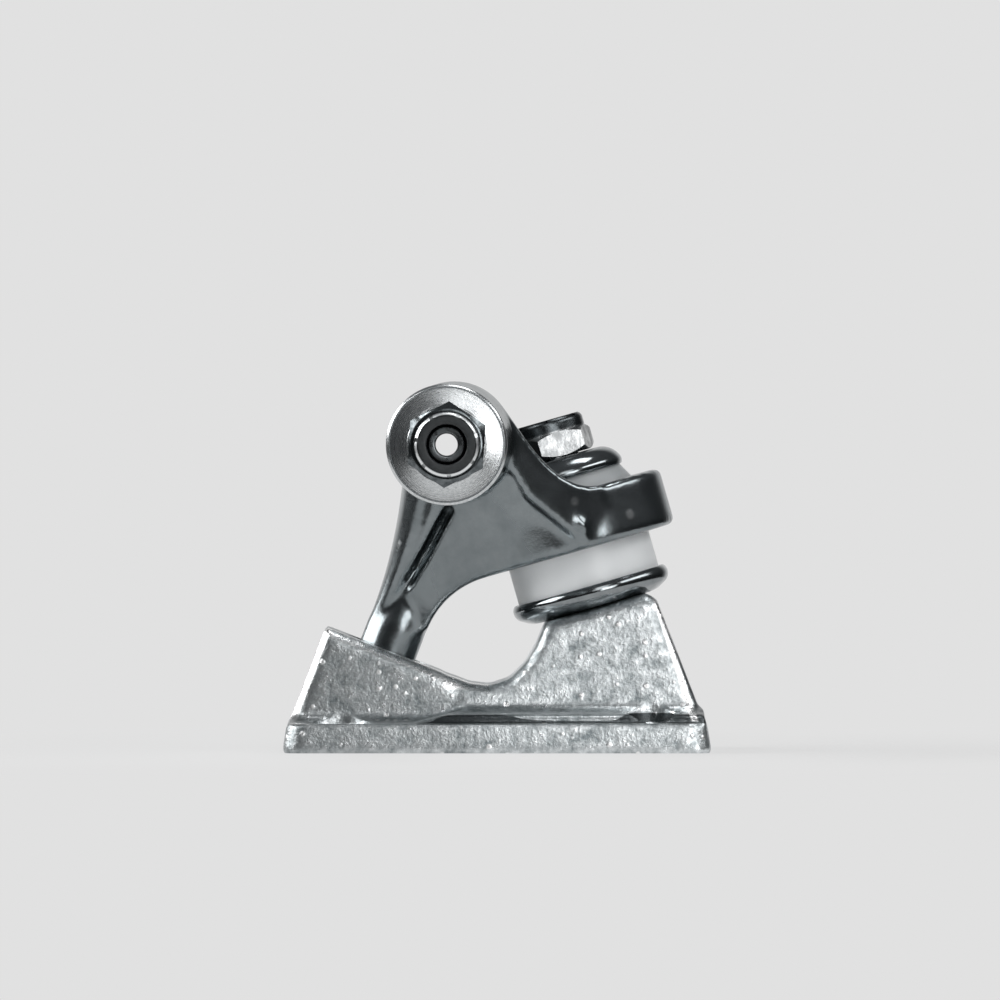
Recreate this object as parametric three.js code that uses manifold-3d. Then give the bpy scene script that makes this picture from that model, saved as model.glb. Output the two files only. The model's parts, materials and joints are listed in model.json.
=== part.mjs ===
// Skateboard truck: a cast baseplate, a cast hanger that steers between two urethane bushings
// on a kingpin, a hollow axle through the hanger, and the nuts and washers that hold them.
// Millimetres. +X runs from the pivot to the kingpin, +Y along the axle, +Z away from the deck.
// The origin is the centre of the baseplate's deck face.

import * as THREE from 'three';
import { mergeVertices } from 'three/addons/utils/BufferGeometryUtils.js';
import Module from 'manifold-3d';

const wasm = await Module();
wasm.setup();

const { degToRad } = THREE.MathUtils;
const Point = THREE.Vector2;

// Clearances and cuts
const seatGap = 0.2;
const boreGap = 0.3;
const threadGap = 0.1;
const cutOverrun = 3;
const fineSides = 36;
const coarseSides = 24;
const hexSides = 6;
const curveSteps = 8;

// Baseplate: a slab with a draughted body that carries the pivot tower and the kingpin tower
const boltSpacingLong = 53.98;
const boltSpacingWide = 41.28;
const boltToEnd = 10.46;
const boltToSide = 7.36;
const baseLength = boltSpacingLong + 2 * boltToEnd;
const baseWidth = boltSpacingWide + 2 * boltToSide;
const slabHeight = 4.8;
const slabDraft = 0.85;
const plateCornerRadius = 3.2;
const bodyFootHeight = 7.2;
const bodyFootWidth = 30;
const bodyTopWidth = 23;
const boltHoleDiameter = 5.4;
const boltPocketDiameter = 10.2;
const boltPocketHeight = 4.2;

// Scoop between the towers: how far it runs on straight from each of them before it bends
const scoopPivotReach = 9.4;
const scoopKingpinReach = 10.2;

// Pivot: the stem's axis leans towards the kingpin from the centre of the pivot nose
const pivotTilt = degToRad(21);
const pivotInset = 15.75;
const pivotX = -baseLength / 2 + pivotInset;
const pivotHeight = 10.8;
const pivotTowerRise = 7.3;
const pivotTowerFront = 11.7;
const pivotTowerBack = 10;
const noseRadius = 5.2;
const stemRise = 19;
const stemTaperRise = 14;
const cupWall = 2.3;
const cupFloor = 1.2;
const cupMouthFlare = 1.2;
const cupLipDrop = 0.3;
const cupSocketGap = 0.15;

// Kingpin: its axis leans towards the pivot from the point where it meets the deck face
const kingpinTilt = degToRad(16);
const kingpinInset = 12.95;
const kingpinFootX = baseLength / 2 - kingpinInset;
const kingpinDiameter = 9.53;
const kingpinHeadSeat = 12;
const kingpinHeadHeight = 6;
const kingpinHeadAcrossFlats = 14.29;
const kingpinTipDrop = 0.6;
const kingpinTipChamfer = 0.6;
const kingpinTowerHeight = 26.1;
const kingpinTowerDiameter = 18.3;
const towerShoulderOut = 1.6;
const towerShoulderDrop = 1.5;

// Cup washers and bushings on the kingpin
const cupWasherThickness = 1.5;
const lowerWasherDiameter = 28.2;
const lowerWasherHeight = 4;
const lowerWasherLip = 1;
const upperWasherDiameter = 23.8;
const upperWasherHeight = 3.9;
const upperWasherLip = 0.9;
const lowerBushingDiameter = 25.5;
const lowerBushingHeight = 11.3;
const upperBushingDiameter = 25;
const upperBushingTopDiameter = 20.6;
const upperBushingHeight = 7.1;
const bushingEdge = 0.7;

// Kingpin nut
const kingpinNutAcrossFlats = 14.29;
const kingpinNutHexHeight = 4.6;
const kingpinNutCollarDiameter = 14.2;
const kingpinNutCollarHeight = 2.3;
const kingpinNutInsertDiameter = 12.4;

// Hanger ring round the kingpin, with a seat for a bushing in each face
const ringDiameter = 35.1;
const ringThickness = 10.1;
const ringEdge = 1.3;
const ringBore = 14;
const seatDiameter = 26;
const seatMouthEdge = 0.6;
const ringStep = 0.1;
const lowerSeatDepth = 3;
const upperSeatDepth = 2.6;

// Hanger beam and arms
const axleReach = 12.93;
const axleX = pivotX + axleReach;
const axleHeight = 53.65;
const hangerWidth = 139;
const collarDiameter = 20.8;
const collarWidth = 4.5;
const collarEdge = 0.4;
const washerSeatDiameter = 13.4;
const washerSeatRise = 0.15;
const beamEndDiameter = 17.4;
const bossDiameter = 20.6;
const bossOffset = 1.3;
const bossRise = 0.75;
const bossWidth = 44;
const bossTaperWidth = 26;
const bossEndDiameter = 14;
const armFlareWidth = 56;
const armStart = degToRad(42);
const armReach = 5;
const ringReach = 9;
const armLanding = 7;
const armKneeReach = 12.7;
const armKneeDrop = 10;
const armFootReach = 1.6;

// Pocket in the hanger that clears the upper washer and the nut as it steers
const washerPocketDiameter = 25.6;
const washerPocketWidth = 30;
const washerPocketHeight = 8;
const webPocketRise = 1.1;
const nutPocketDiameter = 18;
const nutPocketWidth = 25.2;
const nutPocketHeight = 14;

// Web between the stem and the ring, and the rounded column on its front edge
const webFootWidth = 9;
const webTopWidth = 17;
const archRadius = 15.2;
const columnTopReach = -3.2;
const columnTopDrop = 7.6;
const columnBendReach = -4.8;
const columnBendDrop = 18.6;
const columnFootRise = 14.5;
const columnFootReach = -3.1;
const columnTopSize = 4.5;
const columnTopDepth = 11;
const columnFootSize = 2.4;
const columnFootDepth = 4.9;

// Axle, washers and axle nuts
const axleDiameter = 7.94;
const axleBore = 4.5;
const axleLength = 203.2;
const axleEdge = 0.5;
const axleWasherDiameter = 12.7;
const axleWasherThickness = 1;
const axleNutAcrossFlats = 12.7;
const axleNutHexHeight = 6;
const axleNutCollarDiameter = 11.4;
const axleNutCollarHeight = 2.1;
const axleNutInsertDiameter = 9.9;
const axleNutInsertBore = 7.2;
const axleNutOverhang = 2.3;
const axleNutTurn = degToRad(26.8);
const nutInsertHeight = 1.9;
const nutInsertRecess = 0.3;
const nutHexEdge = 0.9;

// Finishes
const castFinish = { color: 0xb2b7b9, metalness: 1, roughness: 0.42 };
const satinFinish = { color: 0x8d9496, metalness: 1, roughness: 0.34 };
const steelFinish = { color: 0x9a9fa1, metalness: 1, roughness: 0.3 };
const chromeFinish = { color: 0x8f9597, metalness: 1, roughness: 0.14 };
const urethaneFinish = { color: 0xdfe3e4, metalness: 0, roughness: 0.45 };
const nylonFinish = { color: 0x2b3032, metalness: 0, roughness: 0.55 };

// Frames: the kingpin's and the pivot stem's own +Z run along their axes
const kingpinFrame = new THREE.Matrix4().makeRotationY(-kingpinTilt).setPosition(kingpinFootX, 0, 0);
const pivotFrame = new THREE.Matrix4().makeRotationY(pivotTilt).setPosition(pivotX, 0, pivotHeight);
const axleFrame = new THREE.Matrix4().makeTranslation(axleX, 0, axleHeight);
const across = new THREE.Matrix4().makeRotationX(Math.PI / 2);
const endways = new THREE.Matrix4().makeRotationZ(Math.PI / 2).multiply(across);

// Side view point, as (x, z), of a place given across and along a frame's axis
function sidePoint(frame, across, along) {
  const place = new THREE.Vector3(across, 0, along).applyMatrix4(frame);
  return new Point(place.x, place.z);
}

// Side view direction, as (x, z), of a frame's own x or z axis
function sideDirection(frame, across, along) {
  return sidePoint(frame, across, along).sub(sidePoint(frame, 0, 0)).normalize();
}

// Closed solid for joining and cutting, from any closed geometry
function toSolid(geometry) {
  const bare = new THREE.BufferGeometry();
  bare.setAttribute('position', geometry.getAttribute('position'));
  if (geometry.index) bare.setIndex(geometry.index);
  const welded = mergeVertices(bare);
  const corners = welded.index.array;
  const kept = [];
  for (let i = 0; i < corners.length; i += 3) {
    const [a, b, c] = corners.slice(i, i + 3);
    if (a !== b && b !== c && c !== a) kept.push(a, b, c);
  }
  const vertProperties = new Float32Array(welded.getAttribute('position').array);
  const triVerts = new Uint32Array(kept);
  return new wasm.Manifold(new wasm.Mesh({ numProp: 3, vertProperties, triVerts }));
}

// Geometry of a solid, flat shaded
function toGeometry(solid) {
  const { vertProperties, triVerts } = solid.getMesh();
  const geometry = new THREE.BufferGeometry();
  geometry.setAttribute('position', new THREE.BufferAttribute(vertProperties, 3));
  geometry.setIndex(new THREE.BufferAttribute(triVerts, 1));
  const flat = geometry.toNonIndexed();
  flat.computeVertexNormals();
  return flat;
}

const join = (first, ...others) => others.reduce((whole, part) => whole.add(part), first);
const cut = (first, ...others) => others.reduce((whole, part) => whole.subtract(part), first);

// Solid turned about +Z from [radius, height] corners, listed up its outer wall and down its inner one
function turned(corners, frame = new THREE.Matrix4(), sides = fineSides) {
  const profile = [...corners, corners[0]].map(([radius, height]) => new Point(radius, height));
  const geometry = new THREE.LatheGeometry(profile, sides);
  return toSolid(geometry.rotateX(Math.PI / 2).applyMatrix4(frame));
}

// Plain round bar or tool about +Z between two heights
function bar(diameter, from, to, frame, sides) {
  return turned([[0, from], [diameter / 2, from], [diameter / 2, to], [0, to]], frame, sides);
}

// Solid of a side view outline (x, z), centred on the truck's middle plane
function sideSlab(shape, width) {
  const geometry = new THREE.ExtrudeGeometry(shape, { depth: width, bevelEnabled: false, curveSegments: curveSteps });
  return toSolid(geometry.translate(0, 0, -width / 2).rotateX(Math.PI / 2));
}

// Solid of an outline in a frame's own x and y, between two heights on its z
function prism(shape, from, to, frame = new THREE.Matrix4()) {
  const geometry = new THREE.ExtrudeGeometry(shape, { depth: to - from, bevelEnabled: false, curveSegments: curveSteps });
  return toSolid(geometry.translate(0, 0, from).applyMatrix4(frame));
}

function hexagon(acrossFlats) {
  const cornerRadius = acrossFlats / 2 / Math.cos(Math.PI / hexSides);
  const corners = Array.from({ length: hexSides }, (_, i) => {
    const turn = i * 2 * Math.PI / hexSides;
    return new Point(cornerRadius * Math.cos(turn), cornerRadius * Math.sin(turn));
  });
  return new THREE.Shape(corners);
}

// Long round-ended outline, its straight sides lying across the truck
function stadium(diameter, width) {
  const shape = new THREE.Shape();
  const radius = diameter / 2;
  const reach = width / 2 - radius;
  shape.absarc(0, reach, radius, 0, Math.PI, false);
  shape.absarc(0, -reach, radius, Math.PI, 2 * Math.PI, false);
  return shape;
}

function roundedRectangle(length, width, radius) {
  const shape = new THREE.Shape();
  const x = length / 2 - radius;
  const y = width / 2 - radius;
  shape.absarc(x, y, radius, 0, Math.PI / 2, false);
  shape.absarc(-x, y, radius, Math.PI / 2, Math.PI, false);
  shape.absarc(-x, -y, radius, Math.PI, 3 * Math.PI / 2, false);
  shape.absarc(x, -y, radius, 3 * Math.PI / 2, 2 * Math.PI, false);
  return shape;
}

// Round bar along a side view curve; its size in that view and its depth across the truck taper along it
function limb(curve, startSize, endSize, startDepth, endDepth) {
  const geometry = new THREE.CylinderGeometry(1, 1, 1, coarseSides, curveSteps);
  const position = geometry.getAttribute('position');
  for (let i = 0; i < position.count; i += 1) {
    const share = position.getY(i) + 1 / 2;
    const centre = curve.getPoint(share);
    const along = curve.getTangent(share);
    const side = position.getX(i) * THREE.MathUtils.lerp(startSize, endSize, share);
    const depth = position.getZ(i) * THREE.MathUtils.lerp(startDepth, endDepth, share);
    position.setXYZ(i, centre.x + along.y * side, -depth, centre.y - along.x * side);
  }
  return toSolid(geometry);
}

function mesh(name, solid, finish) {
  const made = new THREE.Mesh(toGeometry(solid), new THREE.MeshStandardMaterial(finish));
  made.name = name;
  return made;
}

// Heights up the kingpin's axis, each from the piece below it
const lowerWasherFoot = kingpinTowerHeight + seatGap;
const lowerBushingFoot = lowerWasherFoot + cupWasherThickness + seatGap;
const lowerSeat = lowerBushingFoot + lowerBushingHeight + seatGap;
const ringFoot = lowerSeat - lowerSeatDepth;
const ringTop = ringFoot + ringThickness;
const upperSeat = ringTop - upperSeatDepth;
const upperBushingFoot = upperSeat + seatGap;
const upperBushingTop = upperBushingFoot + upperBushingHeight;
const upperWasherTop = upperBushingTop + seatGap + cupWasherThickness;
const kingpinNutFoot = upperWasherTop + seatGap;
const kingpinNutTop = kingpinNutFoot + kingpinNutHexHeight + kingpinNutCollarHeight;
const kingpinTip = kingpinNutTop - kingpinTipDrop;
const kingpinRadius = kingpinDiameter / 2;
const stackBore = kingpinRadius + boreGap;

// Places along the axle, outwards from the middle
const shoulder = hangerWidth / 2;
const axleTip = axleLength / 2;
const axleNutHeight = axleNutHexHeight + axleNutCollarHeight;
const axleNutFoot = axleTip + axleNutOverhang - axleNutHeight;

function baseplateOutline() {
  const along = sideDirection(pivotFrame, 0, pivotTowerRise);
  const down = sideDirection(pivotFrame, pivotTowerBack, 0);
  const pivotPeak = sidePoint(pivotFrame, -pivotTowerFront, pivotTowerRise);
  const pivotBack = sidePoint(pivotFrame, pivotTowerBack, pivotTowerRise);
  const towerRadius = kingpinTowerDiameter / 2;
  const towerFront = sidePoint(kingpinFrame, -towerRadius, kingpinTowerHeight);
  const towerBack = sidePoint(kingpinFrame, towerRadius, kingpinTowerHeight);
  const towerShoulder = sidePoint(kingpinFrame, towerRadius + towerShoulderOut, kingpinTowerHeight - towerShoulderDrop);
  const scoopStart = pivotBack.clone().addScaledVector(down, scoopPivotReach);
  const scoopEnd = towerFront.clone().addScaledVector(along, -scoopKingpinReach);
  const shape = new THREE.Shape();
  shape.moveTo(-baseLength / 2, 0);
  shape.lineTo(baseLength / 2, 0);
  shape.lineTo(baseLength / 2 - slabDraft, slabHeight);
  shape.lineTo(towerShoulder.x, towerShoulder.y);
  shape.lineTo(towerBack.x, towerBack.y);
  shape.lineTo(towerFront.x, towerFront.y);
  shape.bezierCurveTo(scoopEnd.x, scoopEnd.y, scoopStart.x, scoopStart.y, pivotBack.x, pivotBack.y);
  shape.lineTo(pivotPeak.x, pivotPeak.y);
  shape.lineTo(-baseLength / 2 + slabDraft, slabHeight);
  shape.closePath();
  return shape;
}

// End view of the baseplate: slab, sloped foot and draughted body
function baseplateSection() {
  const rightSide = [
    new Point(baseWidth / 2, 0),
    new Point(baseWidth / 2 - slabDraft, slabHeight),
    new Point(bodyFootWidth / 2, bodyFootHeight),
    new Point(bodyTopWidth / 2, kingpinTowerHeight + towerShoulderDrop),
  ];
  const leftSide = rightSide.map(({ x, y }) => new Point(-x, y)).reverse();
  return new THREE.Shape([...rightSide, ...leftSide]);
}

function makeBaseplate() {
  const side = sideSlab(baseplateOutline(), baseWidth);
  const section = prism(baseplateSection(), -baseLength / 2, baseLength / 2, endways);
  const plan = roundedRectangle(baseLength, baseWidth, plateCornerRadius);
  const body = side.intersect(section).intersect(prism(plan, 0, kingpinTowerHeight + towerShoulderDrop));

  const drills = [];
  for (const x of [-boltSpacingLong / 2, boltSpacingLong / 2]) {
    for (const y of [-boltSpacingWide / 2, boltSpacingWide / 2]) {
      const place = new THREE.Matrix4().makeTranslation(x, y, 0);
      drills.push(bar(boltHoleDiameter, -cutOverrun, slabHeight + cutOverrun, place, coarseSides));
      drills.push(bar(boltPocketDiameter, boltPocketHeight, bodyFootHeight + cutOverrun, place, coarseSides));
    }
  }

  const kingpinHole = bar(kingpinDiameter + 2 * boreGap, 0, kingpinTowerHeight + cutOverrun, kingpinFrame);
  const headRoom = hexagon(kingpinHeadAcrossFlats + 2 * boreGap);
  const headRecess = prism(headRoom, -kingpinHeadHeight, kingpinHeadSeat + seatGap, kingpinFrame);
  const socketRadius = noseRadius + boreGap + cupWall + cupSocketGap;
  const socketFloor = noseRadius + boreGap + cupFloor + seatGap;
  const socket = bar(2 * socketRadius, -socketFloor, pivotTowerRise + cutOverrun, pivotFrame);
  return cut(body, ...drills, kingpinHole, headRecess, socket);
}

// Urethane cup in the pivot tower: a round seat for the nose and a mouth that lets the stem swing
function makePivotCup() {
  const seatRadius = noseRadius + boreGap;
  const outerRadius = seatRadius + cupWall;
  const lip = pivotTowerRise - cupLipDrop;
  const seat = Array.from({ length: curveSteps + 1 }, (_, i) => {
    const turn = i / curveSteps * Math.PI / 2;
    return [seatRadius * Math.cos(turn), -seatRadius * Math.sin(turn)];
  });
  const floor = -seatRadius - cupFloor;
  return turned([[0, floor], [outerRadius, floor], [outerRadius, lip], [seatRadius + cupMouthFlare, lip], ...seat], pivotFrame);
}

function makeKingpin() {
  const head = prism(hexagon(kingpinHeadAcrossFlats), kingpinHeadSeat - kingpinHeadHeight, kingpinHeadSeat);
  const shank = turned([
    [0, kingpinHeadSeat - kingpinHeadHeight / 2],
    [kingpinRadius, kingpinHeadSeat - kingpinHeadHeight / 2],
    [kingpinRadius, kingpinTip - kingpinTipChamfer],
    [kingpinRadius - kingpinTipChamfer, kingpinTip],
    [0, kingpinTip],
  ]);
  return join(head, shank);
}

// Cup washer standing on its flat: the rim turns up round the bushing
function makeLowerWasher() {
  const rim = lowerWasherDiameter / 2;
  const foot = lowerWasherFoot;
  const top = foot + lowerWasherHeight;
  const inside = lowerBushingDiameter / 2 + threadGap;
  return turned([
    [stackBore, foot],
    [rim - 2 * lowerWasherLip, foot],
    [rim - lowerWasherLip / 2, foot + lowerWasherLip],
    [rim, foot + 2 * lowerWasherLip],
    [rim, top - lowerWasherLip],
    [(rim + inside) / 2, top],
    [inside, top - lowerWasherLip],
    [inside, foot + cupWasherThickness],
    [stackBore, foot + cupWasherThickness],
  ]);
}

// The upper cup washer hangs over the bushing's narrow end
function makeUpperWasher() {
  const rim = upperWasherDiameter / 2;
  const foot = upperWasherTop - upperWasherHeight;
  const inside = upperBushingTopDiameter / 2 + boreGap;
  const mouth = inside + upperWasherLip / 2;
  const ceiling = upperWasherTop - cupWasherThickness;
  return turned([
    [mouth, foot + upperWasherLip],
    [(rim + mouth) / 2, foot],
    [rim, foot + upperWasherLip],
    [rim, foot + 2 * upperWasherLip],
    [rim - upperWasherLip, upperWasherTop - upperWasherLip],
    [rim - 3 * upperWasherLip, upperWasherTop],
    [stackBore, upperWasherTop],
    [stackBore, ceiling],
    [inside, ceiling],
  ]);
}

function makeLowerBushing() {
  const radius = lowerBushingDiameter / 2;
  const top = lowerBushingFoot + lowerBushingHeight;
  return turned([
    [stackBore, lowerBushingFoot],
    [radius - bushingEdge, lowerBushingFoot],
    [radius, lowerBushingFoot + bushingEdge],
    [radius, top - bushingEdge],
    [radius - bushingEdge, top],
    [stackBore, top],
  ]);
}

function makeUpperBushing() {
  const footRadius = upperBushingDiameter / 2;
  const topRadius = upperBushingTopDiameter / 2;
  return turned([
    [stackBore, upperBushingFoot],
    [footRadius - bushingEdge, upperBushingFoot],
    [footRadius, upperBushingFoot + bushingEdge],
    [footRadius, upperBushingFoot + upperSeatDepth],
    [topRadius, upperBushingTop - bushingEdge],
    [topRadius - bushingEdge, upperBushingTop],
    [stackBore, upperBushingTop],
  ]);
}

// Lock nut about +Z on its foot at zero: chamfered hexagon, round collar and the groove for its insert
function makeLockNut({ acrossFlats, hexHeight, collarDiameter: collar, collarHeight, bore, insertDiameter }) {
  const flat = acrossFlats / 2;
  const corner = flat / Math.cos(Math.PI / hexSides);
  const top = hexHeight + collarHeight;
  const cornerCut = turned([
    [0, 0],
    [flat, 0],
    [corner, nutHexEdge],
    [corner, hexHeight - nutHexEdge],
    [flat, hexHeight],
    [0, hexHeight],
  ]);
  const body = prism(hexagon(acrossFlats), 0, hexHeight).intersect(cornerCut);
  const grooveFoot = top - nutInsertRecess - nutInsertHeight - seatGap;
  return cut(
    join(body, bar(collar, hexHeight / 2, top)),
    bar(bore, -cutOverrun, top + cutOverrun),
    bar(insertDiameter + 2 * threadGap, grooveFoot, top + cutOverrun),
  );
}

// Nylon ring of a lock nut whose top is at the given height
function makeNutInsert(top, insertDiameter, bore) {
  const insertTop = top - nutInsertRecess;
  const foot = insertTop - nutInsertHeight;
  return turned([
    [bore / 2, foot],
    [insertDiameter / 2, foot],
    [insertDiameter / 2, insertTop],
    [bore / 2, insertTop],
  ]);
}

// Beam: a round bar between the wheel shoulders, each with a raised seat for a washer,
// thickened by an offset boss in the middle
function hangerBeam() {
  const beamFrame = axleFrame.clone().multiply(across);
  const bossFrame = new THREE.Matrix4().makeTranslation(bossOffset, 0, bossRise).multiply(beamFrame);
  const collarRadius = collarDiameter / 2;
  const collarFoot = shoulder - collarWidth;
  const taper = collarRadius - beamEndDiameter / 2;
  const outer = [
    [beamEndDiameter / 2, collarFoot - taper],
    [collarRadius, collarFoot],
    [collarRadius, shoulder - collarEdge],
    [collarRadius - collarEdge, shoulder],
    [washerSeatDiameter / 2, shoulder],
    [washerSeatDiameter / 2, shoulder + washerSeatRise],
    [0, shoulder + washerSeatRise],
  ];
  const mirrored = outer.map(([radius, y]) => [radius, -y]).reverse();
  const beam = turned([...mirrored, ...outer], beamFrame);
  const bossEnd = bossWidth / 2 + bossTaperWidth;
  const boss = turned([
    [0, -bossEnd],
    [bossEndDiameter / 2, -bossEnd],
    [bossDiameter / 2, -bossWidth / 2],
    [bossDiameter / 2, bossWidth / 2],
    [bossEndDiameter / 2, bossEnd],
    [0, bossEnd],
  ], bossFrame);
  return join(beam, boss);
}

// Arms: a yoke that sweeps from the beam's boss down into the ring
function hangerArms() {
  const boss = new Point(axleX + bossOffset, axleHeight + bossRise);
  const bossRadius = bossDiameter / 2;
  const outwards = new Point(Math.cos(armStart), Math.sin(armStart));
  const crest = boss.clone().addScaledVector(outwards, bossRadius);
  const crestReach = crest.clone().add(new Point(outwards.y, -outwards.x).multiplyScalar(armReach));
  const landing = sidePoint(kingpinFrame, armLanding, ringTop - ringStep);
  const landingReach = sidePoint(kingpinFrame, armLanding - ringReach, ringTop - ringStep);
  const ringBack = sidePoint(kingpinFrame, armLanding, ringFoot + ringStep);
  const foot = sidePoint(kingpinFrame, armFootReach, ringFoot + ringStep);
  const knee = new Point(boss.x + armKneeReach, boss.y - armKneeDrop);
  const shape = new THREE.Shape();
  shape.moveTo(boss.x, boss.y - bossRadius);
  shape.lineTo(knee.x, knee.y);
  shape.lineTo(foot.x, foot.y);
  shape.lineTo(ringBack.x, ringBack.y);
  shape.lineTo(landing.x, landing.y);
  shape.bezierCurveTo(landingReach.x, landingReach.y, crestReach.x, crestReach.y, crest.x, crest.y);
  shape.lineTo(boss.x, boss.y + bossRadius);
  shape.closePath();

  const flareReach = kingpinFootX - axleX + bossRadius;
  const planRadius = ringDiameter / 2;
  const plan = new THREE.Shape([
    new Point(planRadius, planRadius),
    new Point(0, planRadius),
    new Point(-flareReach, armFlareWidth / 2),
    new Point(-flareReach, -armFlareWidth / 2),
    new Point(0, -planRadius),
    new Point(planRadius, -planRadius),
  ]);
  return sideSlab(shape, armFlareWidth).intersect(prism(plan, 0, 2 * axleHeight, kingpinFrame));
}

// Web: joins the stem to the ring and boss; its arch is tangent to both
function hangerWeb() {
  const ringLine = sideDirection(kingpinFrame, 1, 0);
  const stemLine = sideDirection(pivotFrame, 0, 1);
  const stemSide = new Point(stemLine.y, -stemLine.x);
  const onRing = sidePoint(kingpinFrame, 0, ringFoot - archRadius);
  const onStem = sidePoint(pivotFrame, noseRadius + archRadius, 0);
  const slide = onStem.clone().sub(onRing).dot(stemSide) / ringLine.dot(stemSide);
  const arch = onRing.addScaledVector(ringLine, slide);
  const archFoot = arch.clone().addScaledVector(stemSide, -archRadius);
  const stemFoot = sidePoint(pivotFrame, 0, stemTaperRise - noseRadius);
  const insideRing = sidePoint(kingpinFrame, 0, ringFoot + ringThickness / 2);
  const shape = new THREE.Shape();
  shape.moveTo(stemFoot.x, stemFoot.y);
  shape.lineTo(archFoot.x, archFoot.y);
  shape.absarc(arch.x, arch.y, archRadius, Math.PI - pivotTilt, Math.PI / 2 + kingpinTilt, true);
  shape.lineTo(insideRing.x, insideRing.y);
  shape.lineTo(axleX, axleHeight);
  shape.closePath();
  const section = new THREE.Shape([
    new Point(webFootWidth / 2, archFoot.y),
    new Point(webTopWidth / 2, axleHeight),
    new Point(-webTopWidth / 2, axleHeight),
    new Point(-webFootWidth / 2, archFoot.y),
  ]);
  return sideSlab(shape, webTopWidth).intersect(prism(section, -baseLength / 2, baseLength / 2, endways));
}

// Pivot stem with a ball nose, and the column that carries it up to the beam
function hangerStem() {
  const nose = Array.from({ length: curveSteps + 1 }, (_, i) => {
    const turn = (1 - i / curveSteps) * Math.PI / 2;
    return [noseRadius * Math.cos(turn), -noseRadius * Math.sin(turn)];
  });
  const stem = turned([...nose, [noseRadius, stemTaperRise], [0, stemRise]], pivotFrame);
  const top = new Point(axleX + columnTopReach, axleHeight - columnTopDrop);
  const bend = new Point(axleX + columnBendReach, axleHeight - columnBendDrop);
  const foot = sidePoint(pivotFrame, columnFootReach, columnFootRise);
  const path = new THREE.QuadraticBezierCurve(foot, bend, top);
  return join(stem, limb(path, columnFootSize, columnTopSize, columnFootDepth, columnTopDepth));
}

function makeHanger() {
  const ringRadius = ringDiameter / 2;
  const ring = turned([
    [0, ringFoot],
    [ringRadius - ringEdge, ringFoot],
    [ringRadius, ringFoot + ringEdge],
    [ringRadius, ringTop - ringEdge],
    [ringRadius - ringEdge, ringTop],
    [0, ringTop],
  ], kingpinFrame);
  const washerRoom = stadium(washerPocketDiameter, washerPocketWidth);
  const nutRoom = stadium(nutPocketDiameter, nutPocketWidth);
  const pocketFoot = ringTop - ringStep;
  const washerPocket = prism(washerRoom, pocketFoot, pocketFoot + washerPocketHeight, kingpinFrame);
  const nutPocketFoot = pocketFoot + washerPocketHeight / 2;
  const nutPocket = prism(nutRoom, nutPocketFoot, nutPocketFoot + nutPocketHeight, kingpinFrame);
  const webPocket = prism(washerRoom, ringTop + webPocketRise, ringTop + washerPocketHeight, kingpinFrame);
  const arms = cut(join(hangerBeam(), hangerArms()), washerPocket, nutPocket);
  const web = cut(hangerWeb(), webPocket, nutPocket);
  const seatRadius = seatDiameter / 2;
  const lowerSeatCut = turned([
    [0, ringFoot - cutOverrun],
    [seatRadius + seatMouthEdge, ringFoot - cutOverrun],
    [seatRadius + seatMouthEdge, ringFoot],
    [seatRadius, ringFoot + seatMouthEdge],
    [seatRadius, lowerSeat],
    [0, lowerSeat],
  ], kingpinFrame);
  const upperSeatCut = turned([
    [0, upperSeat],
    [seatRadius, upperSeat],
    [seatRadius, ringTop - seatMouthEdge],
    [seatRadius + seatMouthEdge, ringTop],
    [seatRadius + seatMouthEdge, ringTop + cutOverrun],
    [0, ringTop + cutOverrun],
  ], kingpinFrame);
  const bore = bar(ringBore, lowerSeat - cutOverrun, upperSeat + cutOverrun, kingpinFrame);
  const axleLine = axleFrame.clone().multiply(across);
  const axleHole = bar(axleDiameter + 2 * cupSocketGap, -shoulder - cutOverrun, shoulder + cutOverrun, axleLine);
  return cut(join(arms, web, hangerStem(), ring), lowerSeatCut, upperSeatCut, bore, axleHole);
}

function makeAxle() {
  const outer = axleDiameter / 2;
  const inner = axleBore / 2;
  return turned([
    [inner, -axleTip],
    [outer - axleEdge, -axleTip],
    [outer, -axleTip + axleEdge],
    [outer, axleTip - axleEdge],
    [outer - axleEdge, axleTip],
    [inner, axleTip],
  ]);
}

function makeAxleWasher() {
  const inner = axleDiameter / 2 + boreGap;
  return turned([
    [inner, 0],
    [axleWasherDiameter / 2, 0],
    [axleWasherDiameter / 2, axleWasherThickness],
    [inner, axleWasherThickness],
  ]);
}

// Pieces that stack on the kingpin, in its own frame
function kingpinGroup() {
  const group = new THREE.Group();
  const nut = new THREE.Group();
  group.position.set(kingpinFootX, 0, 0);
  group.rotation.y = -kingpinTilt;
  nut.position.z = kingpinNutFoot;
  nut.add(
    mesh('kingpin_nut', makeLockNut({
      acrossFlats: kingpinNutAcrossFlats,
      hexHeight: kingpinNutHexHeight,
      collarDiameter: kingpinNutCollarDiameter,
      collarHeight: kingpinNutCollarHeight,
      bore: kingpinDiameter + 2 * threadGap,
      insertDiameter: kingpinNutInsertDiameter,
    }), chromeFinish),
    mesh('kingpin_nut_insert', makeNutInsert(
      kingpinNutHexHeight + kingpinNutCollarHeight,
      kingpinNutInsertDiameter,
      kingpinDiameter + 2 * threadGap,
    ), nylonFinish),
  );
  group.add(
    mesh('kingpin', makeKingpin(), steelFinish),
    mesh('lower_washer', makeLowerWasher(), chromeFinish),
    mesh('lower_bushing', makeLowerBushing(), urethaneFinish),
    mesh('upper_bushing', makeUpperBushing(), urethaneFinish),
    mesh('upper_washer', makeUpperWasher(), chromeFinish),
    nut,
  );
  return group;
}

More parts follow.
